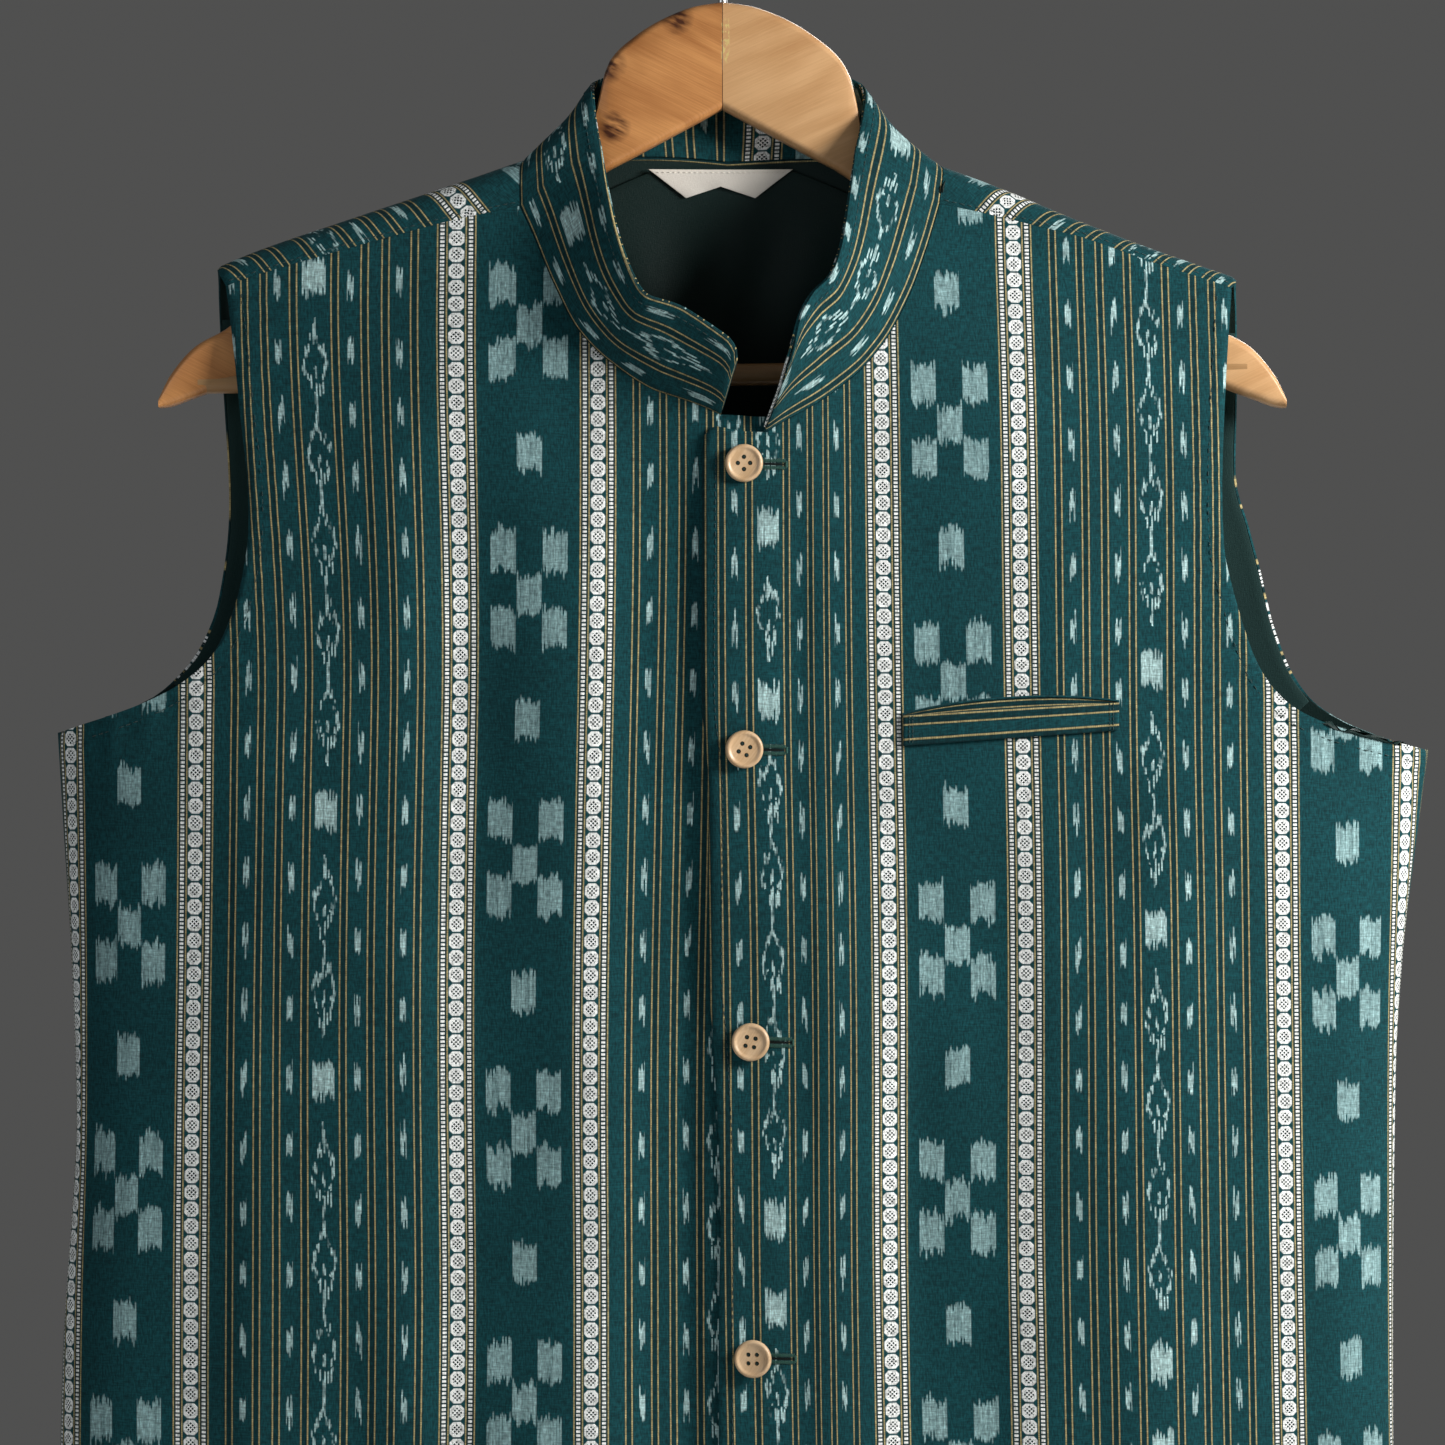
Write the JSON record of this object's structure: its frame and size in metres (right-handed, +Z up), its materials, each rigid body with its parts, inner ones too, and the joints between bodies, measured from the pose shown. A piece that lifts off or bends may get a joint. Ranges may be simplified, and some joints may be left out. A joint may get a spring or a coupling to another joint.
{
  "type": "nehru jacket on a wooden hanger",
  "caption": "Sleeveless stand-collar jacket in striped ikat cloth, buttoned and hanging on a flat wooden hanger with a metal hook, open at neck, armholes and hem",
  "frame": {"origin": "inner top of the hook's bend, where it rests on a rail", "axes": "+Z up, the fronts face -Y, +X is to the right as seen from the front (the wearer's left)"},
  "size_m": [0.5591, 0.0856, 0.8658],
  "materials": {
    "ikat_cloth": "deep teal yarn-dyed cotton with woven stripes and pale ikat figures, matt",
    "lining": "plain dark green lining, faint satin",
    "label_tape": "plain off-white woven tape, bare",
    "button_wood": "turned pale wood, matt",
    "hanger_wood": "clear satin varnish on reddish softwood",
    "hook_wire": "bright plated wire"
  },
  "bodies": {
    "root": {"front_left": "ikat_cloth", "front_right": "ikat_cloth", "back": "ikat_cloth", "collar": "ikat_cloth", "collar_inner": "ikat_cloth", "welt": "ikat_cloth", "facing_front_left": "lining", "facing_front_right": "lining", "facing_back_left": "lining", "facing_back_right": "lining", "lining_yoke": "lining", "label": "label_tape", "button_1": "button_wood", "button_2": "button_wood", "button_3": "button_wood", "button_4": "button_wood", "button_5": "button_wood", "hanger_arm_left": "hanger_wood", "hanger_arm_right": "hanger_wood", "trouser_bar": "hanger_wood", "hook": "hook_wire"}
  },
  "joints": []
}
